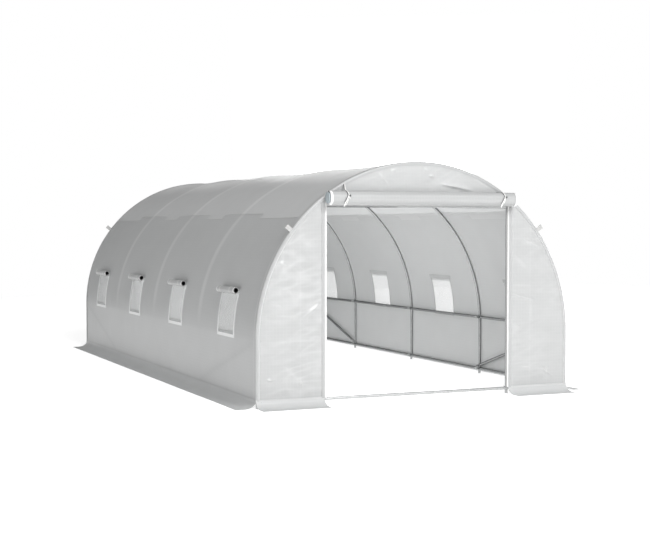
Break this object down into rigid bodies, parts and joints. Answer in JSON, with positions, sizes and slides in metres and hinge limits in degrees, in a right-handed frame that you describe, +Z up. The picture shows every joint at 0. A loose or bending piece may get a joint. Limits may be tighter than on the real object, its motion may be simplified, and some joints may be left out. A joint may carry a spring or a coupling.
{
  "type": "polytunnel greenhouse",
  "caption": "Walk-in arched garden tunnel: galvanised tube hoops under a translucent woven sheet, with screened side windows, rolled flaps, ground skirts and a rolled-up door.",
  "frame": {"origin": "on the ground, at the middle of the floor", "axes": "+Z up, +Y along the tunnel from the door end to the closed end, +X to the right as seen from the door"},
  "size_m": [3.35, 6.35, 2.04],
  "materials": {
    "galvanised_tube": "dull galvanised",
    "cover_sheet": "woven polyethylene, translucent, slightly glossy",
    "insect_screen": "fine open mesh",
    "webbing": "woven tape"
  },
  "bodies": {
    "root": {"front_hoop": "galvanised_tube", "second_hoop": "galvanised_tube", "middle_hoop": "galvanised_tube", "fourth_hoop": "galvanised_tube", "rear_hoop": "galvanised_tube", "left_hoop_legs": "galvanised_tube", "right_hoop_legs": "galvanised_tube", "left_base_rail": "galvanised_tube", "right_base_rail": "galvanised_tube", "left_side_rail": "galvanised_tube", "right_side_rail": "galvanised_tube", "ridge_rail": "galvanised_tube", "front_sill": "galvanised_tube", "rear_sill": "galvanised_tube", "left_braces": "galvanised_tube", "right_braces": "galvanised_tube", "left_door_post": "galvanised_tube", "right_door_post": "galvanised_tube", "door_header": "galvanised_tube", "rear_posts": "galvanised_tube", "rear_header": "galvanised_tube", "left_lower_wall": "cover_sheet", "right_lower_wall": "cover_sheet", "left_window_wall": "cover_sheet", "right_window_wall": "cover_sheet", "left_shoulder": "cover_sheet", "right_shoulder": "cover_sheet", "left_roof": "cover_sheet", "right_roof": "cover_sheet", "front_left_panel": "cover_sheet", "front_right_panel": "cover_sheet", "front_gable": "cover_sheet", "rear_wall": "cover_sheet", "left_skirt": "cover_sheet", "right_skirt": "cover_sheet", "front_left_skirt": "cover_sheet", "front_right_skirt": "cover_sheet", "rear_skirt": "cover_sheet", "left_window_screens": "insect_screen", "right_window_screens": "insect_screen", "left_flap_rolls": "cover_sheet", "right_flap_rolls": "cover_sheet", "door_roll": "cover_sheet", "door_ties": "webbing", "guy_straps": "webbing"}
  },
  "joints": []
}
